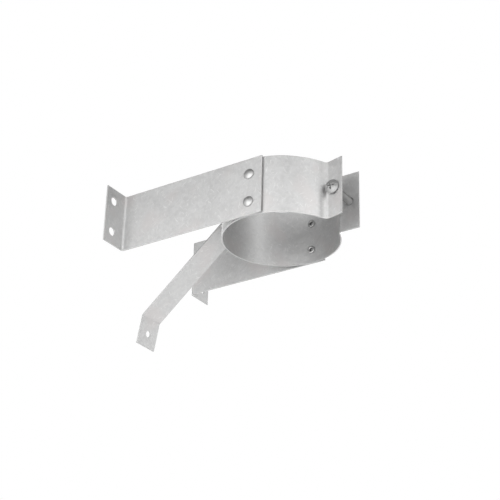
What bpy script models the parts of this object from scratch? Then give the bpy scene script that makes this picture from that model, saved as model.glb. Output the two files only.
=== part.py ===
"""Wall strap that holds a vertical vent pipe three inches off a wall.

A strip of galvanised steel is rolled into an open ring with two ears, and a screw and nut across the
ears draw it shut on the pipe. Two flat arms, riveted to the sides of the ring, run back to the wall and
end in drilled flanges. A narrower brace, riveted to the back of the ring, slopes down to the wall.

Frame: metres, +Z up. The origin is on the wall plane, straight behind the pipe and at mid-height of the
ring. +X points away from the wall, and +Y to the right of someone who faces the wall.
"""
import math

import bmesh
import bpy
from mathutils import Matrix, Vector

INCH = 0.0254

# Sheet
SHEET = 0.0010              # thickness of every strip
BEND = 0.0020               # radius of the bends in the arms and the brace, at the middle of the sheet
GAP = 0.0003                # clearance between pieces that touch
STRIP = 2.0 * INCH          # width of the ring and of the arms

# Ring and ears
BORE = 3.75 * INCH / 2      # inner radius of the ring
STANDOFF = 3.0 * INCH       # from the wall to the ring
FRONT_FROM = math.radians(50.8)         # where the ring's front parts begin, left and right of the front
FRONT_RADII = 0.0680, 0.0481            # the left one was rolled flatter
FRONT_TO = math.radians(26.3), math.radians(17.3)   # where they turn out into the ears
EAR_BEND = 0.0030                       # radius of that turn, at the middle of the sheet
EAR_LEGS = 0.0140, 0.0164               # straight part of each ear
EAR_SPLAYS = math.radians(12.6), 0.0    # the left ear leans out; the right one is straight

# Arms
ARM_END = 0.0120            # how far the arms reach past their rivets, at the middle of the ring
FLANGE = 1.0 * INCH         # leg of each wall flange, from the inner face of its arm
FLANGE_HOLE = 9 / 32 * INCH / 2
FLANGE_HOLE_EDGE = 0.0095   # from the tip of a flange to its holes
FLANGE_HOLE_PITCH = 1.1 * INCH

# Brace
BRACE_WIDTH = 0.0235
BRACE_TOP = 0.0243          # top edge of the tab on the ring
BRACE_KNEE = 0.0003         # height at which the brace leaves the ring
HEEL_DROP = 0.0670          # height of the lower bend under mid-height
HEEL_BEHIND = 0.0036        # how far the lower bend lies behind the wall plane until it is screwed down
FOOT = 0.0248               # length of the foot under the bend
FOOT_TILT = math.radians(10.6)
FOOT_HOLE = 7 / 32 * INCH / 2
FOOT_HOLE_DOWN = 0.0133     # from the lower bend to the hole

# Rivets, semi-tubular
RIVET_SHANK = 0.0024
RIVET_HEAD = 0.0045
RIVET_DOME = 0.0016
RIVET_RIM = 0.0004          # straight edge under the dome
CLINCH = 0.0034
CLINCH_BORE = 0.0014
CLINCH_DEPTH = 0.0023       # depth of the hollow
RIVET_UPPER = 0.0112        # heights of the two rows, which sit a little low on the strips
RIVET_LOWER = -0.0135

# Clamp screw and nut, quarter inch with twenty threads to the inch
SHANK = 0.0030              # middle of the thread
SCREW_OUT = 0.0564          # from the pipe's axis to the screw's, which goes through both ears
EAR_HOLE = 9 / 32 * INCH / 2
HEAD = 0.473 * INCH / 2
HEAD_HEIGHT = 0.0031
HEAD_EDGE = 0.0008          # straight edge under the dome
SCREW_LENGTH = 1.5 * INCH
SLOT_WIDTH = 0.0013
SLOT_DEPTH = 0.0016
CROSS_RADIUS = 0.0032
CROSS_WIDTH = 0.0015
CROSS_DEPTH = 0.0022
NUT_FLATS = 7 / 16 * INCH
NUT_HEIGHT = 7 / 32 * INCH

# Finishes, each a colour and a roughness of metal
GALVANISED = (0.52, 0.52, 0.518), 0.58
RIVET_PLATING = (0.46, 0.46, 0.457), 0.50
SCREW_PLATING = (0.44, 0.44, 0.438), 0.56

# Worked out
RING = BORE + SHEET / 2                 # radius of the ring at the middle of its sheet
RING_OUT = BORE + SHEET
PIPE_X = STANDOFF + RING_OUT            # the pipe's axis
ARM_Y = RING_OUT + GAP + SHEET / 2      # middle of an arm
SCREW_X = PIPE_X + SCREW_OUT
ARC_STEP = math.radians(3)


# Paths. A path is a list of points along the middle of a strip, seen from its edge.

def arc(centre, radius, start, end, step=ARC_STEP):
    """Points on a circle from one angle to another, both ends included."""
    count = max(2, math.ceil(abs(end - start) / step))
    angles = [start + (end - start) * i / count for i in range(count + 1)]
    return [centre + Vector((math.cos(a), math.sin(a))) * radius for a in angles]


def angle_of(v):
    return math.atan2(v.y, v.x)


def folded(corners, radius=BEND):
    """The path through the corners of a folded strip, each inner corner rounded to the bend radius."""
    points = [corners[0]]
    for before, corner, after in zip(corners, corners[1:], corners[2:]):
        back = (before - corner).normalized()
        ahead = (after - corner).normalized()
        half = back.angle(ahead) / 2
        centre = corner + (back + ahead).normalized() * radius / math.sin(half)
        start = angle_of(corner + back * radius / math.tan(half) - centre)
        end = angle_of(corner + ahead * radius / math.tan(half) - centre)
        end += math.tau * round((start - end) / math.tau)
        points += arc(centre, radius, start, end, math.radians(20))
    return points + [corners[-1]]


def band_end(side):
    """One end of the band, seen from the pipe's axis: the tip of its ear, the bend outward, and the front
    part of the ring, up to where the round back begins. Side is 0 for the left end and 1 for the right."""
    way = (-1, 1)[side]
    radius, end = FRONT_RADII[side], FRONT_TO[side]
    middle = Vector((math.cos(FRONT_FROM), way * math.sin(FRONT_FROM))) * (RING - radius)
    radial = Vector((math.cos(end), way * math.sin(end)))
    along = Vector((math.cos(EAR_SPLAYS[side]), way * math.sin(EAR_SPLAYS[side])))
    outward = Vector((-math.sin(EAR_SPLAYS[side]), way * math.cos(EAR_SPLAYS[side])))
    on_ring = angle_of(-radial)
    on_ear = angle_of(-outward)
    on_ear += math.tau * round((on_ring - on_ear) / math.tau)
    bend = arc(middle + radial * (radius + EAR_BEND), EAR_BEND, on_ear, on_ring, math.radians(15))
    front = arc(middle, radius, way * end, way * FRONT_FROM)
    return [bend[0] + along * EAR_LEGS[side]] + bend + front[1:-1]


def ear_y(side, out):
    """Where the middle of an ear's sheet is, to the left or right, at a distance in front of the axis."""
    tip, start = band_end(side)[:2]
    return tip.y + (start.y - tip.y) * (out - tip.x) / (start.x - tip.x)


def ring_path():
    """The rolled band: left ear, round the back of the pipe, right ear."""
    round_back = arc(Vector((0, 0)), RING, -FRONT_FROM, FRONT_FROM - math.tau)
    return band_end(0) + round_back + band_end(1)[::-1]


# Modelling

def material(name, finish):
    colour, roughness = finish
    made = bpy.data.materials.new(name)
    made.use_nodes = True
    shader = made.node_tree.nodes["Principled BSDF"]
    shader.inputs["Base Color"].default_value = (*colour, 1.0)
    shader.inputs["Roughness"].default_value = roughness
    shader.inputs["Metallic"].default_value = 1.0
    return made


def place(name, mesh_source, finish=None, location=(0, 0, 0), rotation=(0, 0, 0), parent=None):
    """Turns a bmesh into a named object with a material of its own. Cutters go without."""
    mesh = bpy.data.meshes.new(name)
    bmesh.ops.recalc_face_normals(mesh_source, faces=mesh_source.faces)
    mesh_source.to_mesh(mesh)
    mesh_source.free()
    mesh.shade_smooth()
    mesh.set_sharp_from_angle(angle=math.radians(32))
    if finish:
        mesh.materials.append(material(name, finish))
    made = bpy.data.objects.new(name, mesh)
    made.location = location
    made.rotation_euler = rotation
    made.parent = parent
    bpy.context.scene.collection.objects.link(made)
    return made


def empty(name, location):
    made = bpy.data.objects.new(name, None)
    made.location = location
    bpy.context.scene.collection.objects.link(made)
    return made


def strip(name, path, width, finish, **placing):
    """A flat strip bent along a path in its own XY plane. Its width runs along its own Z, and a Solidify
    modifier gives it the sheet's thickness, half to each side of the path."""
    shape = bmesh.new()
    low = [shape.verts.new((p.x, p.y, -width / 2)) for p in path]
    high = [shape.verts.new((p.x, p.y, width / 2)) for p in path]
    for i in range(len(path) - 1):
        shape.faces.new((low[i], low[i + 1], high[i + 1], high[i]))
    made = place(name, shape, finish, **placing)
    solid = made.modifiers.new("sheet", "SOLIDIFY")
    solid.thickness = SHEET
    solid.offset = 0.0
    solid.use_even_offset = True
    return made


def turned(name, profile, finish=None, segments=24, **placing):
    """A piece turned about its own Z from a profile of (radius, height) points, whose first and last
    points lie on the axis."""
    shape = bmesh.new()
    verts = [shape.verts.new((r, 0, z)) for r, z in profile]
    edges = [shape.edges.new(pair) for pair in zip(verts, verts[1:])]
    bmesh.ops.spin(shape, geom=verts + edges, cent=(0, 0, 0), axis=(0, 0, 1), angle=math.tau,
                   steps=segments, use_merge=True)
    bmesh.ops.remove_doubles(shape, verts=shape.verts, dist=1e-6)
    return place(name, shape, finish, **placing)


def cut(target, cutter):
    """Cuts one piece by another, which is kept out of the model."""
    cutter.hide_render = True
    cutter.display_type = "WIRE"
    hole = target.modifiers.new(cutter.name, "BOOLEAN")
    hole.operation = "DIFFERENCE"
    hole.solver = "EXACT"
    hole.object = cutter


def drill(target, radius, centre, direction, depth=0.006, sides=28):
    """Drills a round hole through a sheet at a point."""
    shape = bmesh.new()
    bmesh.ops.create_cone(shape, cap_ends=True, segments=sides, radius1=radius, radius2=radius, depth=depth)
    cutter = place(f"drill_{target.name}", shape)
    cutter.location = centre
    cutter.rotation_euler = Vector((0, 0, 1)).rotation_difference(Vector(direction)).to_euler()
    cut(target, cutter)


# Clamp band

def clamp_band():
    made = strip("clamp_band", ring_path(), STRIP, GALVANISED, parent=pipe_axis)
    for side, way in enumerate((-1, 1)):
        for height in (RIVET_UPPER, RIVET_LOWER):
            drill(made, RIVET_SHANK + GAP, (PIPE_X, way * RING, height), (0, 1, 0))
        drill(made, EAR_HOLE, (SCREW_X, ear_y(side, SCREW_OUT), 0), (0, 1, 0), depth=0.009)
    drill(made, RIVET_SHANK + GAP, (PIPE_X - RING, 0, RIVET_UPPER), (1, 0, 0))
    return made


# Arms

def arm(name, side):
    """One arm: flat against the side of the ring, back to the wall, and out into a drilled flange."""
    flange_tip = ARM_Y - SHEET / 2 + FLANGE
    corners = [Vector((PIPE_X + ARM_END, side * ARM_Y)), Vector((SHEET / 2, side * ARM_Y)),
               Vector((SHEET / 2, side * flange_tip))]
    made = strip(name, folded(corners), STRIP, GALVANISED)
    for height in (RIVET_UPPER, RIVET_LOWER):
        drill(made, RIVET_SHANK + GAP, (PIPE_X, side * ARM_Y, height), (0, 1, 0))
    for height in (-FLANGE_HOLE_PITCH / 2, FLANGE_HOLE_PITCH / 2):
        drill(made, FLANGE_HOLE, (SHEET / 2, side * (flange_tip - FLANGE_HOLE_EDGE), height), (1, 0, 0))
    return made


# Brace

def brace():
    """A tab flat on the back of the ring, a sloping leg, and a foot. Seen from the side: own X is the
    frame's X and own Y is up."""
    tab_x = STANDOFF - GAP - SHEET / 2
    heel = Vector((-HEEL_BEHIND, -HEEL_DROP))
    toe_way = Vector((-math.sin(FOOT_TILT), -math.cos(FOOT_TILT)))
    corners = [Vector((tab_x, BRACE_TOP)), Vector((tab_x, BRACE_KNEE)), heel, heel + toe_way * FOOT]
    made = strip("brace", folded(corners), BRACE_WIDTH, GALVANISED, rotation=(math.pi / 2, 0, 0))
    hole = heel + toe_way * FOOT_HOLE_DOWN
    drill(made, RIVET_SHANK + GAP, (tab_x, 0, RIVET_UPPER), (1, 0, 0))
    drill(made, FOOT_HOLE, (hole.x, 0, hole.y), (toe_way.y, 0, -toe_way.x))
    return made


# Rivets

def rivet_profile():
    """Domed head below, solid shank, and a hollow end that is rolled outward over the sheet."""
    sphere = (RIVET_HEAD**2 + RIVET_DOME**2) / (2 * RIVET_DOME)
    sweep = math.asin(RIVET_HEAD / sphere)
    dome = []
    for i in range(6):
        a = sweep * i / 5
        dome.append((sphere * math.sin(a), sphere - RIVET_DOME - RIVET_RIM - sphere * math.cos(a)))
    grip = 4 * GAP + 2 * SHEET
    roll = (CLINCH - CLINCH_BORE) / 2
    rolled = []
    for i in range(7):
        a = math.pi * i / 6
        rolled.append((CLINCH - roll + roll * math.cos(a), grip + roll * math.sin(a)))
    hollow = [(CLINCH_BORE, grip + roll - CLINCH_DEPTH), (0, grip + roll - CLINCH_DEPTH - CLINCH_BORE / 2)]
    return dome + [(RIVET_HEAD, 0), (RIVET_SHANK, 0), (RIVET_SHANK, grip)] + rolled + hollow


def rivets():
    """Two rivets through each arm and one through the brace, all with their heads outside the ring."""
    profile = rivet_profile()
    profile[0] = (0, profile[0][1])
    head_y = ARM_Y + SHEET / 2 + GAP
    for label, side in (("left", -1), ("right", 1)):
        for level, height in (("upper", RIVET_UPPER), ("lower", RIVET_LOWER)):
            turned(f"{label}_rivet_{level}", profile, RIVET_PLATING,
                   location=(PIPE_X, side * head_y, height), rotation=(side * math.pi / 2, 0, 0))
    turned("brace_rivet", profile, RIVET_PLATING, location=(STANDOFF - SHEET - 2 * GAP, 0, RIVET_UPPER),
           rotation=(0, math.pi / 2, 0))


# Clamp screw and nut

def clamp_screw():
    """Pan-head machine screw, head outside the left ear. Its own Z runs from the head to the tip."""
    sphere = (HEAD**2 + (HEAD_HEIGHT - HEAD_EDGE) ** 2) / (2 * (HEAD_HEIGHT - HEAD_EDGE))
    sweep = math.asin(HEAD / sphere)
    profile = []
    for i in range(8):
        a = sweep * i / 7
        profile.append((sphere * math.sin(a), sphere - HEAD_HEIGHT - sphere * math.cos(a)))
    chamfer = SHANK / 4
    profile += [(HEAD, 0), (SHANK, 0), (SHANK, SCREW_LENGTH - chamfer), (SHANK - chamfer, SCREW_LENGTH),
                (0, SCREW_LENGTH)]
    ear_face = ear_y(0, SCREW_OUT + HEAD) - SHEET / 2 / math.cos(EAR_SPLAYS[0])
    seat = Vector((SCREW_X, ear_face - GAP, 0))
    made = turned("clamp_screw", profile, SCREW_PLATING, segments=32, location=seat,
                  rotation=(-math.pi / 2, 0, 0))
    for name, length, width, depth in (("slot", 3 * HEAD, SLOT_WIDTH, SLOT_DEPTH),
                                       ("cross", 2 * CROSS_RADIUS, CROSS_WIDTH, CROSS_DEPTH),
                                       ("cross_arm", CROSS_WIDTH, 2 * CROSS_RADIUS, CROSS_DEPTH)):
        shape = bmesh.new()
        bmesh.ops.create_cube(shape, size=1.0, matrix=Matrix.Diagonal((length, width, 2 * depth, 1)))
        cutter = place(name, shape, parent=made, location=(0, 0, -HEAD_HEIGHT))
        cut(made, cutter)
    return made


def clamp_nut():
    """Hexagon nut outside the right ear, with both faces chamfered at the corners."""
    corner = NUT_FLATS / 2 / math.cos(math.pi / 6)
    shape = bmesh.new()
    bmesh.ops.create_cone(shape, cap_ends=True, segments=6, radius1=corner, radius2=corner, depth=NUT_HEIGHT)
    seat = Vector((SCREW_X, ear_y(1, SCREW_OUT) + SHEET / 2 + GAP + NUT_HEIGHT / 2, 0))
    made = place("clamp_nut", shape, SCREW_PLATING, location=seat, rotation=(-math.pi / 2, 0, 0))
    slope = math.tan(math.radians(30))
    rise = NUT_HEIGHT / 2 + NUT_FLATS / 2 * slope
    cone = turned("nut_chamfer", [(0, -rise), (rise / slope, 0), (0, rise)], segments=48, parent=made)
    cone.hide_render = True
    cone.display_type = "WIRE"
    both = made.modifiers.new("chamfer", "BOOLEAN")
    both.operation = "INTERSECT"
    both.solver = "EXACT"
    both.object = cone
    drill(made, SHANK + GAP, seat, (0, 1, 0), depth=2 * NUT_HEIGHT)
    return made


for old in list(bpy.data.objects):
    bpy.data.objects.remove(old, do_unlink=True)
pipe_axis = empty("pipe_axis", (PIPE_X, 0, 0))

clamp_band()
arm("left_arm", -1)
arm("right_arm", 1)
brace()
rivets()
clamp_screw()
clamp_nut()
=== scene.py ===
"""Looks of a wall strap for a vent pipe: a rolled clamp band, two arms and a brace of galvanised steel,
riveted together, with a clamp screw and nut across the ears of the band."""
import math

import bmesh
import bpy
import numpy as np
from mathutils import Matrix, Vector


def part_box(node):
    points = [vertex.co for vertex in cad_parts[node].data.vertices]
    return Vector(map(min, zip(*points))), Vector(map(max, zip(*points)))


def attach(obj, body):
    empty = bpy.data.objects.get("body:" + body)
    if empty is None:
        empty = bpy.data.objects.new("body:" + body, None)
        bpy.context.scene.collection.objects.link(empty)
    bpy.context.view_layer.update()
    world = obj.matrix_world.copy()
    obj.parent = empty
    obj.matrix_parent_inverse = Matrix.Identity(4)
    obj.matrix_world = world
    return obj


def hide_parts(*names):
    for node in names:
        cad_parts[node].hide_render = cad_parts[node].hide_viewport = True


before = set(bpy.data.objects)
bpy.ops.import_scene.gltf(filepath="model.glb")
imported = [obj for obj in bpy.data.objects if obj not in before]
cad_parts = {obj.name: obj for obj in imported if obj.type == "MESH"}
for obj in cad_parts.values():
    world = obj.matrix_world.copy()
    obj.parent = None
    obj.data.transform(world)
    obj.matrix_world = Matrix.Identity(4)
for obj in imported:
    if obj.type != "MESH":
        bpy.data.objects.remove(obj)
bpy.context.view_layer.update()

# Clamp band.
# A strip of galvanised steel, two inches wide and a millimetre thick, sheared to length, punched flat,
# rolled to a ring and folded outward at both ends into the ears that the screw draws together.

SHEET = 0.0010              # thickness of every strip
RIM = 0.00022               # how far a cut edge is rounded over
RIM_UNDER = 0.00010         # and on its other side
GRID = 0.0016               # spacing of the surface grids on the sheet
HOLE_REACH = 1.5            # half the side of the square of grid that a hole takes up, in its radii
HOLE_RINGS = 0.0, 0.4, 0.7, 0.92        # where rings lie between that square and the hole
FRONT_FROM = math.radians(50.8)         # where the ring's front parts begin, left and right of the front
FRONT_RADII = 0.0680, 0.0481            # the left one was rolled flatter
FRONT_TO = math.radians(26.3), math.radians(17.3)   # where they turn out into the ears
EAR_BEND = 0.0030                       # radius of that turn
EAR_LEGS = 0.0140, 0.0164               # straight part of each ear
EAR_SPLAYS = math.radians(12.6), 0.0    # the left ear leans out
EAR_HOLE = 9 / 32 * 0.0254 / 2
SCREW_OUT = 0.0564          # from the pipe's axis to the screw's
SHADED_BRAKE_MARK = 0.0030         # from the left ear's bend to the middle of the band of crazing and painted shade beside it
SHADED_BRAKE_MARK_SPREAD = 0.0018
SHADED_BRAKE_MARK_HEIGHTS = -0.010, 0.004      # its strength changes between these
SHADED_BRAKE_MARK_STRENGTHS = 0.95, 0.5
RIVET_HOLE = 0.0027
SAG = 0.0010                # how far the ring's top edge is pushed in between the brace and the right arm
SAG_AT = math.radians(123.3)            # angle of its middle from the front
SAG_SPREAD = math.radians(18)

band_low, band_high = map(np.array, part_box("clamp_band"))
ring = band_high[1] - SHEET / 2         # radius at the middle of the sheet
pipe_x = band_low[0] + band_high[1]     # the pipe's axis
strip_width = band_high[2] - band_low[2]
rivet_heights = [(low.z + high.z) / 2 for low, high in map(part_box, ("left_rivet_upper", "left_rivet_lower"))]


class Wire:
    """The output of a shader node. Python's operators add the Math nodes that work an expression out."""

    def __init__(self, finish, socket):
        self.finish = finish
        self.socket = socket

    def math(self, operation, first, second):
        return self.finish.node("ShaderNodeMath", {"operation": operation}, {0: first, 1: second})

    def __add__(self, other):
        return self.math("ADD", self, other)

    def __mul__(self, other):
        return self.math("MULTIPLY", self, other)


class Finish:
    """A material. node() adds one shader node: settings go on the node, values or Wires into its sockets."""

    def __init__(self, name, **constants):
        self.material = bpy.data.materials.new(name)
        self.material.use_nodes = True
        self.tree = self.material.node_tree
        self.shader = self.tree.nodes["Principled BSDF"]
        self.fill(self.shader, constants)

    def fill(self, node, values):
        for socket, value in values.items():
            target = node.inputs[socket.replace("_", " ") if isinstance(socket, str) else socket]
            if isinstance(value, Wire):
                self.tree.links.new(value.socket, target)
            else:
                target.default_value = value

    def node(self, kind, settings=None, values=None, output=0):
        made = self.tree.nodes.new(kind)
        for key, value in (settings or {}).items():
            setattr(made, key, value)
        self.fill(made, values or {})
        return Wire(self, made.outputs[output])

    def attribute(self, name, output=2):
        """What the surface carries from point to point: a number, or with output 1 a vector."""
        return self.node("ShaderNodeAttribute", {"attribute_name": name}, output=output)

    def mix(self, share, first, second):
        """A colour between two, by a share from 0 to 1."""
        return self.node("ShaderNodeMix", {"data_type": "RGBA"}, {0: share, 6: first, 7: second}, 2)

    def noise(self, place, scale, detail=2.0, output=0):
        return self.node("ShaderNodeTexNoise", {}, {"Vector": place, "Scale": scale, "Detail": detail},
                         output)

    def bump(self, height):
        return self.node("ShaderNodeBump", {}, {"Strength": BUMP_STRENGTH, "Distance": BUMP_DEPTH,
                                                "Height": height})

    def steps(self, value, low, high, to_low, to_high):
        """A smooth step from one number to another as value goes from low to high."""
        return self.node("ShaderNodeMapRange", {"interpolation_type": "SMOOTHSTEP"},
                         {"Value": value, "From Min": low, "From Max": high, "To Min": to_low,
                          "To Max": to_high})


BUMP_STRENGTH = 0.12
BUMP_DEPTH = 0.0001
ZINC_DARK = (0.445, 0.445, 0.445, 1.0)
ZINC_LIGHT = (0.615, 0.615, 0.612, 1.0)
ZINC_WARM = (0.546, 0.522, 0.517, 1.0)
ZINC_SCRATCH = (0.657, 0.657, 0.652, 1.0)
ZINC_CRAZED_AND_SHADE = (0.350, 0.350, 0.348, 1.0)
CUT_STEEL = (0.460, 0.460, 0.458, 1.0)
ZINC_ROUGHNESS = 0.465
CUT_ROUGHNESS = 0.25        # what a cut edge adds to that
CRYSTALS = 420.0            # the zinc's patterns, as cells or waves to a metre
CLOUDS = 30.0
WARM_PATCHES = 42.0
GRAIN = 620.0
FINE_GRAIN = 1500.0
WARP = 300.0
WARP_REACH = 0.003          # how far the warp moves the crystals
SCRATCH_SLANTS = 0.6, -0.9, 1.4         # in radians
SCRATCH_SQUEEZE = 150.0, 1100.0, 1.0    # waves to a metre along and across a scratch
WARM_STEP = 0.5, 0.7, 0.0, 0.5          # from and to in the noise, then the share of colour at each
SCRATCH_STEP = 0.71, 0.80, 0.0, 0.6
CRAZE_STEP = 0.35, 0.60, 0.0, 1.0


def galvanised(name, shift):
    """Hot-dip zinc on sheet. The small cells of a warped Voronoi pattern give each crystal its own shade,
    and slower noise clouds them. Noise that is squeezed across a slanting direction, cut off near its
    peaks, leaves short light scratches. Beside the left ear's bend, flecks in a band are darker: partly the
    zinc's crazing where the press brake bit, partly painted shade where the ring's curve turns into the
    bend. The cut edges are bare steel. The shift gives each strip another part of the patterns."""
    finish = Finish(name, Metallic=1.0)
    flat = finish.attribute("flat", output=1)
    place = finish.node("ShaderNodeVectorMath", {"operation": "ADD"}, {0: flat, 1: (shift, shift, 0)})
    warp = finish.noise(place, WARP, output=1)
    warp = finish.node("ShaderNodeVectorMath", {"operation": "SCALE"}, {0: warp, "Scale": WARP_REACH})
    warped = finish.node("ShaderNodeVectorMath", {"operation": "ADD"}, {0: place, 1: warp})
    cells = finish.node("ShaderNodeTexVoronoi", {"feature": "F1"}, {"Vector": warped, "Scale": CRYSTALS}, 1)
    crystal = finish.node("ShaderNodeSeparateColor", {}, {0: cells}, 0)
    cloud = finish.noise(place, CLOUDS)
    grain = finish.noise(place, GRAIN)
    zinc = finish.mix(crystal * 0.30 + cloud * 0.35 + grain * 0.35, ZINC_DARK, ZINC_LIGHT)
    warm = finish.steps(finish.noise(place, WARM_PATCHES, 1.0), *WARM_STEP)
    zinc = finish.mix(warm, zinc, ZINC_WARM)
    for slant in SCRATCH_SLANTS:
        slanted = finish.node("ShaderNodeVectorRotate", {"rotation_type": "Z_AXIS"},
                              {"Vector": warped, "Angle": slant})
        squeezed = finish.node("ShaderNodeVectorMath", {"operation": "MULTIPLY"},
                               {0: slanted, 1: SCRATCH_SQUEEZE})
        streak = finish.noise(squeezed, 1.0, 0.0)
        zinc = finish.mix(finish.steps(streak, *SCRATCH_STEP), zinc, ZINC_SCRATCH)
    # Crazing and painted shade: flecks in the band beside the left ear's bend are darkened, partly for the
    # zinc's crazing, partly as painted shade where the ring's curve turns into the bend.
    crazing_and_shade = finish.attribute("marked") * finish.steps(grain * 0.4 + cloud * 0.6, *CRAZE_STEP)
    zinc = finish.mix(crazing_and_shade, zinc, ZINC_CRAZED_AND_SHADE)
    cut = finish.attribute("cut")
    height = grain * 0.5 + finish.noise(place, FINE_GRAIN) * 0.2 + crystal * 0.10
    finish.fill(finish.shader, {
        "Base Color": finish.mix(cut, zinc, CUT_STEEL),
        "Roughness": crystal * 0.05 + cloud * 0.06 + ZINC_ROUGHNESS + cut * CUT_ROUGHNESS,
        "Normal": finish.bump(height)})
    return finish.material


def quads(rows, columns, closed=False):
    """Corner numbers of a grid's faces. A closed grid joins its last column to its first."""
    i, j = np.meshgrid(np.arange(rows - 1), np.arange(columns if closed else columns - 1), indexing="ij")
    right = (j + 1) % columns
    return np.stack([i * columns + j, i * columns + right, (i + 1) * columns + right,
                     (i + 1) * columns + j], axis=-1).reshape(-1, 4)


def joined(grids):
    """One surface out of several (points, faces). Points in the same place become one, and points that
    no face uses go."""
    counts = np.cumsum([0] + [len(points) for points, _ in grids])
    points = np.concatenate([points for points, _ in grids])
    faces = np.concatenate([faces + count for (_, faces), count in zip(grids, counts)])
    _, first, place = np.unique(np.round(points[:, :3], 9), axis=0, return_index=True, return_inverse=True)
    used, faces = np.unique(place.reshape(-1)[faces], return_inverse=True)
    return points[first[used]], faces.reshape(-1, 4)


def piece(name, nodes, body, slot, material, points, faces, **attributes):
    """Puts a closed surface into the scene for the CAD nodes that it stands for. Where two corners of a
    face have met, at a pole, the face keeps the other three. Attributes are one number or one vector
    a point."""
    met = faces == np.roll(faces, -1, axis=1)
    whole = faces[~met.any(axis=1)]
    poles = faces[met.sum(axis=1) == 1]
    thirds = poles[~met[met.sum(axis=1) == 1]].reshape(-1, 3)
    mesh = bpy.data.meshes.new(name)
    mesh.from_pydata(points.tolist(), [], whole.tolist() + thirds.tolist())
    for label, values in attributes.items():
        kind = "FLOAT" if values.ndim == 1 else "FLOAT_VECTOR"
        layer = mesh.attributes.new(label, kind, "POINT")
        layer.data.foreach_set("value" if values.ndim == 1 else "vector", values.astype(np.float32).ravel())
    shape = bmesh.new()
    shape.from_mesh(mesh)
    bmesh.ops.recalc_face_normals(shape, faces=shape.faces)
    shape.to_mesh(mesh)
    shape.free()
    mesh.shade_smooth()
    mesh.materials.append(material)
    made = bpy.data.objects.new(name, mesh)
    bpy.context.scene.collection.objects.link(made)
    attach(made, body)
    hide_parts(*nodes)
    return made


def cut_edge():
    """Section of a cut edge from one skin to the other, as (setback from the cut, height): a quarter
    circle where the blade draws the skin down, the cut face, and a smaller quarter circle."""
    a = np.linspace(0, math.pi / 2, 5)
    drawn = np.stack([RIM * (1 - np.sin(a)), SHEET / 2 - RIM * (1 - np.cos(a))], axis=-1)
    under = np.stack([RIM_UNDER * (1 - np.sin(a)), RIM_UNDER * (1 - np.cos(a)) - SHEET / 2], axis=-1)
    return np.concatenate([drawn, under[::-1], [[RIM, -SHEET / 2]]])


def around(i0, i1, j0, j1):
    """Row and column numbers once round the sides of a rectangle of grid lines."""
    rows, columns = i1 - i0, j1 - j0
    i = [np.arange(i0, i1), np.full(columns, i1), np.arange(i1, i0, -1), np.full(columns, i0)]
    j = [np.full(rows, j0), np.arange(j0, j1), np.full(rows, j1), np.arange(j1, j0, -1)]
    return np.concatenate(i), np.concatenate(j)


def lines(stops, finer=()):
    """Grid lines between stops, about GRID apart, and half that where a (low, high) stretch says finer."""
    spaced = [np.linspace(a, b, max(2, math.ceil((b - a) / GRID) + 1)) for a, b in zip(stops, stops[1:])]
    found = np.concatenate(spaced)
    for low, high in finer:
        found = found[(found < low - GRID / 4) | (found > high + GRID / 4)]
        found = np.concatenate([found, np.linspace(low, high, math.ceil((high - low) / GRID * 2) + 1)])
    return np.unique(np.round(found, 8))


def blank(length, width, folds, holes):
    """A strip as it leaves the press, still flat, as points (along, across, height) and faces. Both skins
    are grids. Round each hole, a (along, across, radius), a square of the grid gives way to rings that
    go from its sides to the circle, down through the hole and back out on the other skin. The outline
    carries the section of a cut edge. Folds are the (low, high) stretches that will be bent."""
    fold_lines = np.sort([x for fold in folds for x in fold])
    along = lines([RIM, 2 * RIM, *fold_lines, length - 2 * RIM, length - RIM],
                  [(x - HOLE_REACH * r, x + HOLE_REACH * r) for x, _, r in holes] + list(folds))
    side = width / 2 - RIM
    across = lines([-side, RIM - side, side - RIM, side])
    grid = np.stack(np.meshgrid(along, across, indexing="ij"), axis=-1)
    cells = quads(len(along), len(across)).reshape(len(along) - 1, len(across) - 1, 4)
    kept = np.ones(cells.shape[:2], bool)
    section = cut_edge()
    grids = []
    for x, y, radius in holes:
        reach = HOLE_REACH * radius
        i0 = np.searchsorted(along, x - reach - 1e-7)
        i1 = np.searchsorted(along, x + reach - 1e-7)
        j0 = np.searchsorted(across, y - reach) - 1
        j1 = np.searchsorted(across, y + reach)
        kept[i0:i1, j0:j1] = False
        square = grid[around(i0, i1, j0, j1)]
        way = square - (x, y)
        way = way / np.linalg.norm(way, axis=1, keepdims=True)
        circle = [(x, y) + way * (radius + setback) for setback, _ in section]
        rings = [square * (1 - t) + circle[0] * t for t in HOLE_RINGS]
        flats = np.stack(rings + circle + rings[::-1])
        skin = np.full(len(rings), SHEET / 2)
        heights = np.concatenate([skin, section[:, 1], -skin])
        cut = np.zeros(len(heights))
        cut[len(rings) + 1:-len(rings) - 1] = 1.0
        grids.append((flats, heights, cut))
    outline = around(0, len(along) - 1, 0, len(across) - 1)
    ends = zip(outline, (len(along) - 1, len(across) - 1))
    out = np.stack([1 * (line == last) - 1 * (line == 0) for line, last in ends], axis=-1)
    flats = np.stack([grid[outline] + out * (RIM - setback) for setback, _ in section])
    cut = np.ones(len(section))
    cut[[0, -1]] = 0.0
    grids.append((flats, section[:, 1], cut))
    surfaces = []
    for flats, heights, cut in grids:
        rows, columns = flats.shape[:2]
        points = np.concatenate([flats, np.broadcast_to(heights[:, None, None], (rows, columns, 1)),
                                 np.broadcast_to(cut[:, None, None], (rows, columns, 1))], axis=-1)
        surfaces.append((points.reshape(-1, 4), quads(rows, columns, closed=True)))
    for height in (SHEET / 2, -SHEET / 2):
        flat = grid.reshape(-1, 2)
        points = np.column_stack([flat, np.full(len(flat), height), np.zeros(len(flat))])
        surfaces.append((points, cells[kept].reshape(-1, 4)))
    return joined(surfaces)


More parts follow.
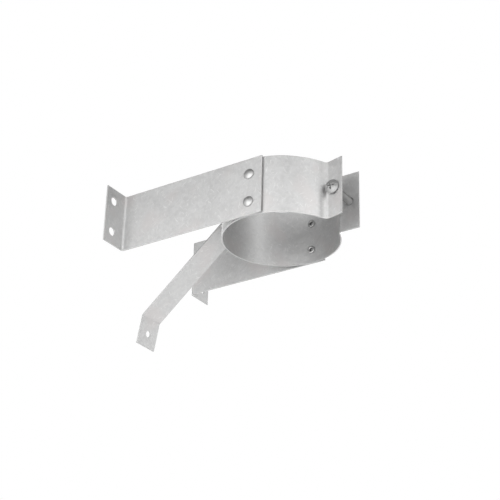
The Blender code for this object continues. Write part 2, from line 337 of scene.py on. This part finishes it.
def bent(flat, start, heading, stretches):
    """Folds a flat strip along its middle line, which is made of stretches, each a (length, turn). On an
    arc the heading grows evenly, and its chord is length * sin(turn / 2) / (turn / 2) along the mean
    heading. A point lies at its distance along that line and out along the line's normal by its height.
    Gives the two coordinates of the plane that the line is drawn in."""
    lengths, turns = np.array(stretches).T
    begins = np.cumsum(lengths) - lengths
    heads = heading + np.cumsum(turns) - turns

    def chord(length, turn, head):
        mean = head + turn / 2
        return (length * np.sinc(turn / math.tau))[:, None] * np.stack([np.cos(mean), np.sin(mean)], axis=-1)

    ends = chord(lengths, turns, heads)
    corners = np.array(start) + np.cumsum(ends, axis=0) - ends
    k = np.clip(np.searchsorted(begins, flat[:, 0], side="right") - 1, 0, len(begins) - 1)
    part = flat[:, 0] - begins[k]
    turn = turns[k] * part / lengths[k]
    head = heads[k] + turn
    normal = np.stack([-np.sin(head), np.cos(head)], axis=-1)
    return corners[k] + chord(part, turn, heads[k]) + flat[:, 2:3] * normal


def ear_tip(side):
    """Where the middle of an ear's tip is, seen from the pipe's axis: along the radius to the middle of the
    front part's arc, out to the middle of the bend, back to the sheet, and out along the ear."""
    start, end, splay = FRONT_FROM, FRONT_TO[side], EAR_SPLAYS[side]
    inward, outward = ring - FRONT_RADII[side], FRONT_RADII[side] + EAR_BEND
    x = inward * math.cos(start) + outward * math.cos(end) + EAR_BEND * math.sin(splay)
    y = inward * math.sin(start) + outward * math.sin(end) - EAR_BEND * math.cos(splay)
    return x + EAR_LEGS[side] * math.cos(splay), y + EAR_LEGS[side] * math.sin(splay)


def clamp_band():
    """The middle of the sheet runs from the tip of the left ear round the back to the tip of the right.
    The top edge is then pushed in a little, by a bell curve over the angle that grows with the height."""
    bends = [math.pi / 2 - end + splay for end, splay in zip(FRONT_TO, EAR_SPLAYS)]
    fronts = [end - FRONT_FROM for end in FRONT_TO]
    round_back = math.tau - 2 * FRONT_FROM
    sides = [[(EAR_LEGS[side], 0.0), (EAR_BEND * bends[side], bends[side]),
              (-FRONT_RADII[side] * fronts[side], fronts[side])] for side in (0, 1)]
    stretches = sides[0] + [(ring * round_back, -round_back)] + sides[1][::-1]
    ends = np.cumsum([length for length, _ in stretches])
    tips = [ear_tip(side) for side in (0, 1)]
    holes = [((tips[0][0] - SCREW_OUT) / math.cos(EAR_SPLAYS[0]), 0.0, EAR_HOLE),
             (ends[-1] - (tips[1][0] - SCREW_OUT) / math.cos(EAR_SPLAYS[1]), 0.0, EAR_HOLE)]
    for way_round, heights in ((math.pi / 2, rivet_heights), (math.pi, rivet_heights[:1]),
                               (math.pi * 3 / 2, rivet_heights)):
        holes += [(ends[2] + ring * (way_round - FRONT_FROM), height, RIVET_HOLE) for height in heights]
    flat, faces = blank(ends[-1], strip_width, [(ends[0], ends[1]), (ends[4], ends[5])], holes)
    plan = bent(flat, (pipe_x + tips[0][0], -tips[0][1]), math.pi - EAR_SPLAYS[0], stretches)
    way = plan - (pipe_x, 0.0)
    dent = np.exp(-((np.arctan2(way[:, 1], way[:, 0]) - SAG_AT) / SAG_SPREAD)**2)
    plan = plan - way / ring * (SAG * dent * (0.5 + flat[:, 1] / strip_width))[:, None]
    # The band beside the left ear's bend is painted darker, more so lower down: the zinc's crazing and painted
    # shade where the ring's curve turns into the bend.
    marked = np.exp(-((flat[:, 0] - ends[1] - SHADED_BRAKE_MARK) / SHADED_BRAKE_MARK_SPREAD)**2)
    marked = marked * np.interp(flat[:, 1], SHADED_BRAKE_MARK_HEIGHTS, SHADED_BRAKE_MARK_STRENGTHS)
    piece("rolled_band", ["clamp_band"], "strap", "galvanised_sheet", galvanised("band_zinc", 0.0),
          np.column_stack([plan, flat[:, 1]]), faces, flat=flat[:, :3], cut=flat[:, 3], marked=marked)


clamp_band()

# Arms.
# Two strips of the same sheet, one on each side of the band. Each lies flat against the ring, runs back
# to the wall and is folded outward there as a flange with two punched holes.

BEND = 0.0020               # radius of the folds, at the middle of the sheet
FLANGE_HOLE = 9 / 32 * 0.0254 / 2
FLANGE_HOLE_EDGE = 0.0095   # from the tip of a flange to its holes
FLANGE_HOLE_PITCH = 1.1 * 0.0254


def folded(corners):
    """The start, heading and stretches of a strip folded at its inner corners to the bend radius."""
    legs = np.diff(np.array(corners), axis=0)
    heads = np.arctan2(legs[:, 1], legs[:, 0])
    turns = (np.diff(heads) + math.pi) % math.tau - math.pi
    taken = BEND * np.tan(np.abs(turns) / 2)
    straights = np.linalg.norm(legs, axis=1) - np.append(taken, 0) - np.insert(taken, 0, 0)
    stretches = [(straights[0], 0.0)]
    for straight, turn in zip(straights[1:], turns):
        stretches += [(BEND * abs(turn), turn), (straight, 0.0)]
    return corners[0], heads[0], stretches


def strip(width, corners, holes_at):
    """A folded strip as its blank, the faces, and the plane coordinates once bent. Holes are (along,
    across, radius), and a negative distance along counts back from the far end."""
    start, heading, stretches = folded(corners)
    lengths = np.array([length for length, _ in stretches])
    ends = np.cumsum(lengths)
    folds = [(ends[i] - lengths[i], ends[i]) for i in range(1, len(lengths), 2)]
    holes = [(x if x > 0 else ends[-1] + x, y, r) for x, y, r in holes_at]
    flat, faces = blank(ends[-1], width, folds, holes)
    return flat, faces, bent(flat, start, heading, stretches)


def arm(name, node, shift):
    low, high = map(np.array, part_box(node))
    side = 1 if high[1] + low[1] > 0 else -1
    middle = side * (min(abs(low[1]), abs(high[1])) + SHEET / 2)
    tip = side * max(abs(low[1]), abs(high[1]))
    corners = [(high[0], middle), (low[0] + SHEET / 2, middle), (low[0] + SHEET / 2, tip)]
    holes = [(high[0] - pipe_x, height, RIVET_HOLE) for height in rivet_heights]
    holes += [(-FLANGE_HOLE_EDGE, height * FLANGE_HOLE_PITCH / 2, FLANGE_HOLE) for height in (-1, 1)]
    flat, faces, plan = strip(strip_width, corners, holes)
    piece(name, [node], "strap", "galvanised_sheet", galvanised(f"{name}_zinc", shift),
          np.column_stack([plan, flat[:, 1]]), faces, flat=flat[:, :3], cut=flat[:, 3])


arm("arm_left", "left_arm", 1.3)
arm("arm_right", "right_arm", 2.9)

# Brace.
# A narrower strip of the same sheet. Its tab lies flat on the back of the ring, its leg slopes down to
# the wall, and its foot, with one hole, is folded down against the wall.

BRACE_KNEE = 0.0003         # height at which the brace leaves the ring
HEEL_DROP = 0.0670          # height of the lower fold under mid-height
HEEL_BEHIND = 0.0036        # how far the lower fold lies behind the wall plane until it is screwed down
FOOT = 0.0248               # length of the foot under the fold
FOOT_TILT = math.radians(10.6)
FOOT_HOLE = 7 / 32 * 0.0254 / 2
FOOT_HOLE_DOWN = 0.0133     # from the lower fold to the hole


def brace():
    low, high = map(np.array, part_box("brace"))
    tab_x = high[0] - SHEET / 2
    heel = np.array([-HEEL_BEHIND, -HEEL_DROP])
    toe = heel - FOOT * np.array([math.sin(FOOT_TILT), math.cos(FOOT_TILT)])
    corners = [(tab_x, high[2]), (tab_x, BRACE_KNEE), tuple(heel), tuple(toe)]
    holes = [(high[2] - rivet_heights[0], 0.0, RIVET_HOLE), (FOOT_HOLE_DOWN - FOOT, 0.0, FOOT_HOLE)]
    flat, faces, plan = strip(high[1] - low[1], corners, holes)
    piece("brace_strip", ["brace"], "strap", "galvanised_sheet", galvanised("brace_zinc", 4.7),
          np.column_stack([plan[:, 0], flat[:, 1], plan[:, 1]]), faces, flat=flat[:, :3], cut=flat[:, 3])


brace()

# Rivets.
# Five semi-tubular rivets of plated steel: a low domed head outside, and a hollow end that is rolled
# outward over the inside of the ring.

RIVET_SHANK = 0.0024
RIVET_HEAD = 0.0045
RIVET_DOME = 0.0016
RIVET_EDGE = 0.0004         # straight edge under the dome
RIVET_GRIP = 0.0032         # from under the head to the rolled end
ROLL = 0.0034               # outer radius of the rolled end
ROLL_BORE = 0.0014
ROLL_DEPTH = 0.0023
RIVET_ROUNDING = 0.00015    # of the head's lower edge
DOME_LIP = 0.00006, 0.00002             # how far the dome's edge is moved inward and off the sheet
BORE_LIP = 0.0002           # how far under the roll the painted shade of the hollow begins
RIVET_COLUMNS = 48
PLATING_CLOUDS = 420.0      # waves to a metre
PLATING_SCUFFS = 2600.0
PLATING_STEP = 0.3, 0.7, 0.0, 1.0
# The colour painted into the rivets' hollows and onto the screw's thread as their shade.
PAINTED_SHADE = (0.24, 0.24, 0.238, 1.0)
RIVET_DARK = (0.33, 0.33, 0.328, 1.0)
RIVET_LIGHT = (0.41, 0.41, 0.407, 1.0)
RIVET_ROUGHNESS = 0.54


def plated(name, dark, light, roughness):
    """Zinc plating on a small turned or headed piece, a little clouded, with fine scuffs. As the shade
    attribute goes to 1, in a hollow or on a thread, the colour turns to a painted shade."""
    finish = Finish(name, Metallic=1.0)
    place = finish.node("ShaderNodeTexCoord", output=3)
    cloud = finish.noise(place, PLATING_CLOUDS, 3.0)
    scuff = finish.noise(place, PLATING_SCUFFS)
    colour = finish.mix(finish.steps(cloud, *PLATING_STEP), dark, light)
    finish.fill(finish.shader, {
        "Base Color": finish.mix(finish.attribute("shade"), colour, PAINTED_SHADE),
        "Roughness": cloud * 0.14 + scuff * 0.08 + (roughness - 0.11),
        "Normal": finish.bump(scuff * 0.4 + cloud * 0.6)})
    return finish.material


def turned(profile, segments):
    """A profile of (radius, height, shade) points turned about its own Z. Both ends are poles on the
    axis."""
    angle = np.arange(segments) * math.tau / segments
    radius, height, shade = np.array(profile).T[..., None]
    rows = np.stack([radius * np.cos(angle), radius * np.sin(angle), height + 0 * angle, shade + 0 * angle],
                    axis=-1)
    return joined([(rows.reshape(-1, 4), quads(len(rows), segments, closed=True))])


def placed(points, seat, way):
    """Points with their own Z turned to a direction and their own origin moved to a seat."""
    turn = Vector((0, 0, 1)).rotation_difference(Vector(way)).to_matrix()
    return points @ np.array(turn).T + np.array(seat)


def rivet_profile():
    """A dome that is a part of a sphere, a rounded edge, the shank, the rolled end as a half circle,
    and the hollow with its cone."""
    sphere = (RIVET_HEAD**2 + RIVET_DOME**2) / (2 * RIVET_DOME)
    sweep = np.linspace(0, math.asin(RIVET_HEAD / sphere), 14)
    rise = sphere * (1 - np.cos(sweep))
    dome = np.stack([sphere * np.sin(sweep), rise - RIVET_DOME - RIVET_EDGE], axis=-1)
    dome[-1] -= DOME_LIP
    a = np.linspace(0, math.pi / 2, 4)
    under = np.stack([RIVET_HEAD + RIVET_ROUNDING * (np.cos(a) - 1), RIVET_ROUNDING * (np.sin(a) - 1)],
                     axis=-1)
    roll = (ROLL - ROLL_BORE) / 2
    a = np.linspace(0, math.pi, 13)
    rolled = np.stack([ROLL - roll + roll * np.cos(a), RIVET_GRIP + roll * np.sin(a)], axis=-1)
    floor = RIVET_GRIP + roll - ROLL_DEPTH
    hollow = [[ROLL_BORE, RIVET_GRIP - BORE_LIP], [ROLL_BORE, floor], [0, floor - ROLL_BORE / 2]]
    shank = [[RIVET_SHANK, 0], [RIVET_SHANK, RIVET_GRIP]]
    profile = np.concatenate([dome, under, shank, rolled, hollow])
    # The hollow is painted in shade.
    shade = np.zeros(len(profile))
    shade[-len(hollow):] = 1.0
    return np.column_stack([profile, shade])


def rivet(node, seat, way):
    points, faces = turned(rivet_profile(), RIVET_COLUMNS)
    name = "_".join(["rivet"] + [word for word in node.split("_") if word != "rivet"])
    piece(name, [node], "strap", "rivet_steel", rivet_steel, placed(points[:, :3], seat, way), faces,
          shade=points[:, 3])


rivet_steel = plated("rivet_plating", RIVET_DARK, RIVET_LIGHT, RIVET_ROUGHNESS)
arm_face = abs(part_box("left_rivet_upper")[0].y) - RIVET_DOME - RIVET_EDGE
for label, side in (("left", -1), ("right", 1)):
    for level, height in zip(("upper", "lower"), rivet_heights):
        rivet(f"{label}_rivet_{level}", (pipe_x, side * arm_face, height), (0, -side, 0))
brace_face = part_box("brace_rivet")[0].x + RIVET_DOME + RIVET_EDGE
rivet("brace_rivet", (brace_face, 0, rivet_heights[0]), (1, 0, 0))

# Clamp screw.
# A quarter inch pan-head machine screw with twenty threads to the inch and a recess that takes a flat
# or a cross driver. Its head bears on the left ear, and its shank crosses the gap to the nut.

PITCH = 0.0254 / 20
CREST = 0.00312             # outer radius of the thread
ROOT = 0.00245
CREST_FLAT = 0.06           # half the width of the flat along the crest, in pitches
ROOT_FLAT = 0.12
HEAD_HEIGHT = 0.0031
HEAD_EDGE = 0.0008          # straight edge under the dome
SLOT_WIDTH = 0.0013
SLOT_DEPTH = 0.0016
CROSS_RADIUS = 0.0032
CROSS_WIDTH = 0.0015
CROSS_DEPTH = 0.0022
CROSS_FULL = 1.25           # share of that depth at the cross's middle, where it is held to 1
CROSS_FALL = 0.6            # what the share loses from there to the bars' ends
RECESS_WALL = 0.00022       # width of the sloping walls of slot and cross
HEAD_ROUNDING = 0.00025     # of the head's lower edge
HEAD_RINGS = 90
SCREW_COLUMNS = 240
ROWS_A_TURN = 14
RUN_OUT = 0.0012            # over this length the thread grows out of the shank under the head
PLAIN_SHANK = (CREST + ROOT) / 2 + 0.0001       # its radius there
NECK = CREST + 0.0001       # radius where the shank meets the head
MOUTH = CREST + 0.0003      # inner radius of the faces under the head and on both sides of the nut
POINT = ROOT - 0.0002       # radius at the tip
THREAD_SHADE = 0.8          # how far the shank is painted towards the shade colour
SCREW_DARK = (0.26, 0.26, 0.258, 1.0)
SCREW_LIGHT = (0.34, 0.34, 0.337, 1.0)
SCREW_ROUGHNESS = 0.64

screw_low, screw_high = map(np.array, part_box("clamp_screw"))
head = (screw_high[2] - screw_low[2]) / 2
screw_length = screw_high[1] - screw_low[1] - HEAD_HEIGHT


def thread(phase):
    """Radius of a right-hand thread where phase counts whole turns: flat root, flank, flat crest, flank."""
    stops = [0.0, ROOT_FLAT, 0.5 - CREST_FLAT, 0.5 + CREST_FLAT, 1.0 - ROOT_FLAT, 1.0]
    return np.interp(phase % 1.0, stops, [ROOT, ROOT, CREST, CREST, ROOT, ROOT])


def slope(value, width):
    """0 below minus half the width, 1 above half of it, and a smooth step between."""
    t = np.clip(value / width + 0.5, 0, 1)
    return t * t * (3 - 2 * t)


def screw_head():
    """Points of the head's dome on a polar grid. Height is that of a sphere, less the recess: the deepest
    of a slot and two crossed bars, each a box with narrow sloping walls."""
    radius = head * np.linspace(0, 1, HEAD_RINGS)[:, None]
    angle = np.arange(SCREW_COLUMNS) * math.tau / SCREW_COLUMNS
    x, y = radius * np.cos(angle), radius * np.sin(angle)
    rise = HEAD_HEIGHT - HEAD_EDGE
    sphere = (head**2 + rise**2) / (2 * rise)
    top = sphere - np.sqrt(sphere**2 - x**2 - y**2) - HEAD_HEIGHT
    taper = CROSS_DEPTH * np.clip(CROSS_FULL - np.hypot(x, y) / CROSS_RADIUS * CROSS_FALL, 0, 1)

    def inside(half, place):
        return slope(half - np.abs(place), RECESS_WALL)

    slot = SLOT_DEPTH * inside(SLOT_WIDTH / 2, y)
    bar = taper * inside(CROSS_WIDTH / 2, y) * inside(CROSS_RADIUS, x)
    crossbar = taper * inside(CROSS_WIDTH / 2, x) * inside(CROSS_RADIUS, y)
    floor = np.maximum.reduce([slot, bar, crossbar]) - HEAD_HEIGHT
    return np.stack([x, y, np.maximum(top, floor)], axis=-1)


def clamp_screw():
    """The dome, a rounded edge, the underside, and the thread, whose radius depends on height and angle
    through the phase height / pitch - angle / turn."""
    dome = screw_head()
    angle = np.arange(SCREW_COLUMNS) * math.tau / SCREW_COLUMNS
    a = np.linspace(0, math.pi / 2, 5)
    side = np.stack([head + HEAD_ROUNDING * (np.cos(a) - 1), HEAD_ROUNDING * (np.sin(a) - 1)], axis=-1)
    side = np.concatenate([side, [[MOUTH, 0.0]]])
    skirt = np.stack([side[:, :1] * np.cos(angle), side[:, :1] * np.sin(angle),
                      side[:, 1:] + 0 * angle], axis=-1)
    along = np.linspace(0.0, screw_length, math.ceil(screw_length / PITCH * ROWS_A_TURN))[:, None]
    cut = thread(along / PITCH - angle / math.tau)
    radius = PLAIN_SHANK + (cut - PLAIN_SHANK) * slope(along - RUN_OUT, RUN_OUT)
    radius = np.minimum(radius, POINT + (screw_length - along))
    radius[0] = NECK
    shank = np.stack([radius * np.cos(angle), radius * np.sin(angle), along + 0 * angle], axis=-1)
    tip = np.zeros((1, SCREW_COLUMNS, 3))
    tip[..., 2] = screw_length
    rows = np.concatenate([dome, skirt, shank, tip])
    # The thread is painted most of the way to shade.
    shade = np.zeros((len(rows), SCREW_COLUMNS, 1))
    shade[len(dome) + len(skirt):] = THREAD_SHADE
    rows = np.concatenate([rows, shade], axis=-1)
    points, faces = joined([(rows.reshape(-1, 4), quads(len(rows), SCREW_COLUMNS, closed=True))])
    middle = (screw_low + screw_high) / 2
    seat = (middle[0], screw_low[1] + HEAD_HEIGHT, middle[2])
    piece("pan_head_screw", ["clamp_screw"], "screw", "screw_steel", screw_plating,
          placed(points[:, :3], seat, (0, 1, 0)), faces, shade=points[:, 3])
    return seat


screw_plating = plated("screw_plating", SCREW_DARK, SCREW_LIGHT, SCREW_ROUGHNESS)
screw_seat = clamp_screw()

# Clamp nut.
# A hexagon nut on the screw, outside the right ear, with its corners chamfered on both faces.

NUT_FLATS = 7 / 16 * 0.0254
NUT_PLAY = 0.00012          # clearance between the two threads
CHAMFER_CIRCLE = NUT_FLATS / 2 * 0.97   # radius outside which the faces fall away
CHAMFER_TILT = math.radians(30)
NUT_COLUMNS = 192
NUT_ROWS = 60               # along the bore
NUT_SHARP = math.radians(28)            # edges bent by more than this stay sharp


def clamp_nut():
    """A closed tube about the screw's axis. Outside, the radius is that of a hexagon, flats / 2 over the
    cosine of the angle from the nearest flat. Each face falls away outside the chamfer circle, and
    the bore has the screw's own thread with a little play."""
    low, high = map(np.array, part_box("clamp_nut"))
    height = high[1] - low[1]
    offset = low[1] - screw_seat[1]
    angle = np.arange(NUT_COLUMNS) * math.tau / NUT_COLUMNS
    turn = math.pi / 3
    hexagon = NUT_FLATS / 2 / np.cos((angle + turn / 2) % turn - turn / 2)
    flat_part = MOUTH + (CHAMFER_CIRCLE - MOUTH) * np.linspace(0, 1, 3)[:, None] + 0 * angle
    sloped = CHAMFER_CIRCLE + (hexagon - CHAMFER_CIRCLE) * np.linspace(0.1, 1, 8)[:, None]
    face = np.concatenate([flat_part, sloped])
    fall = np.maximum(face - CHAMFER_CIRCLE, 0) * math.tan(CHAMFER_TILT)
    along = np.linspace(height, 0.0, NUT_ROWS)[1:-1, None]
    bore = thread((along + offset) / PITCH - angle / math.tau) + NUT_PLAY
    radius = np.concatenate([face, face[::-1], np.minimum(bore, MOUTH), face[:1]])
    level = np.concatenate([fall, height - fall[::-1], along + 0 * angle, fall[:1]])
    grid = np.stack([radius * np.cos(angle), radius * np.sin(angle), level], axis=-1)
    points, faces = joined([(grid.reshape(-1, 3), quads(len(grid), NUT_COLUMNS, closed=True))])
    seat = (screw_seat[0], low[1], screw_seat[2])
    nut = piece("hexagon_nut", ["clamp_nut"], "nut", "screw_steel", screw_plating,
                placed(points, seat, (0, 1, 0)), faces)
    nut.data.set_sharp_from_angle(angle=NUT_SHARP)


clamp_nut()

# Stage.
# A pale floor well below the strap, white all round, soft lamps, a grey card over the strap that the
# metal mirrors and the camera doesn't see, and a camera that looks up at the strap from below.

FLOOR_DROP = 1.6
FLOOR_HALF = 14.0
CARD_RISE = 0.25
FLOOR_COLOUR = (0.86, 0.86, 0.86, 1.0)
CARD_HALF = 0.60
CARD_LEFT = 0.10            # how far its middle lies to the left of the strap's
CARD_COLOUR = (0.15, 0.15, 0.15, 1.0)
STAGE_MIDDLE = Vector((0.09, 0.0, -0.02))
LAMP_DISTANCE = 1.1


def level_square(name, half, middle, colour):
    """A level square piece of the stage, in one matt colour."""
    corners = np.array([(-1, -1, 0), (1, -1, 0), (1, 1, 0), (-1, 1, 0)]) * half + middle
    mesh = bpy.data.meshes.new(name)
    mesh.from_pydata(corners.tolist(), [], [(0, 1, 2, 3)])
    mesh.materials.append(Finish(f"{name}_colour", Base_Color=colour, Roughness=0.9).material)
    made = bpy.data.objects.new(name, mesh)
    bpy.context.scene.collection.objects.link(made)
    return made


level_square("floor", FLOOR_HALF, (0, 0, -FLOOR_DROP), FLOOR_COLOUR)
card = level_square("grey_card", CARD_HALF, (STAGE_MIDDLE.x, -CARD_LEFT, CARD_RISE), CARD_COLOUR)
card.visible_camera = False

world = bpy.data.worlds.new("white_studio")
bpy.context.scene.world = world
world.use_nodes = True
world.node_tree.nodes["Background"].inputs["Color"].default_value = (1, 1, 1, 1)
world.node_tree.nodes["Background"].inputs["Strength"].default_value = 1.0


def soft_lamp(name, azimuth, elevation, width, height, power):
    """A flat lamp that faces the middle of the strap from a direction, given as a view's angles are."""
    a, e = math.radians(azimuth), math.radians(elevation)
    way = Vector((math.sin(a) * math.cos(e), -math.cos(a) * math.cos(e), math.sin(e)))
    data = bpy.data.lights.new(name, "AREA")
    data.shape = "RECTANGLE"
    data.size, data.size_y = width, height
    data.energy = power
    lamp = bpy.data.objects.new(name, data)
    lamp.location = STAGE_MIDDLE + way * LAMP_DISTANCE
    lamp.rotation_euler = way.to_track_quat("Z", "Y").to_euler()
    lamp.visible_camera = False
    bpy.context.scene.collection.objects.link(lamp)


soft_lamp("key_lamp", 0, -15, 1.2, 1.2, 15.1)
soft_lamp("front_lamp", 60, 12, 1.2, 1.2, 4.7)
soft_lamp("front_strip_lamp", 75, -12, 0.25, 1.2, 4.9)
soft_lamp("left_lamp", 330, 12, 1.2, 1.2, 2.1)
soft_lamp("low_back_lamp", 180, -50, 1.2, 1.2, 1.1)
soft_lamp("low_wall_lamp", 240, -50, 1.2, 1.2, 4.2)
soft_lamp("back_lamp", 180, 15, 0.5, 0.5, 4.7)
soft_lamp("right_wall_lamp", 210, 15, 0.5, 0.5, 5.5)
soft_lamp("wall_lamp", 240, 15, 0.5, 0.5, 5.7)

CAMERA_AZIMUTH = math.radians(33.70)
CAMERA_ELEVATION = math.radians(-26.79)
CAMERA_ROLL = math.radians(1.54)
CAMERA_DISTANCE = 1.0984
CAMERA_LENS = 95.52         # in millimetres, as is the width of the sensor
CAMERA_SENSOR = 36.0
LOOK_AT = Vector((0.08854, 0.00900, -0.02115))

lens = bpy.data.cameras.new("camera")
lens.lens = CAMERA_LENS
lens.sensor_width = CAMERA_SENSOR
camera = bpy.data.objects.new("camera", lens)
bpy.context.scene.collection.objects.link(camera)
back = Vector((math.sin(CAMERA_AZIMUTH) * math.cos(CAMERA_ELEVATION),
               -math.cos(CAMERA_AZIMUTH) * math.cos(CAMERA_ELEVATION), math.sin(CAMERA_ELEVATION)))
camera.matrix_world = (Matrix.Translation(LOOK_AT + back * CAMERA_DISTANCE)
                       @ back.to_track_quat("Z", "Y").to_matrix().to_4x4()
                       @ Matrix.Rotation(CAMERA_ROLL, 4, "Z"))
bpy.context.scene.camera = camera
bpy.context.scene.view_settings.view_transform = "Standard"
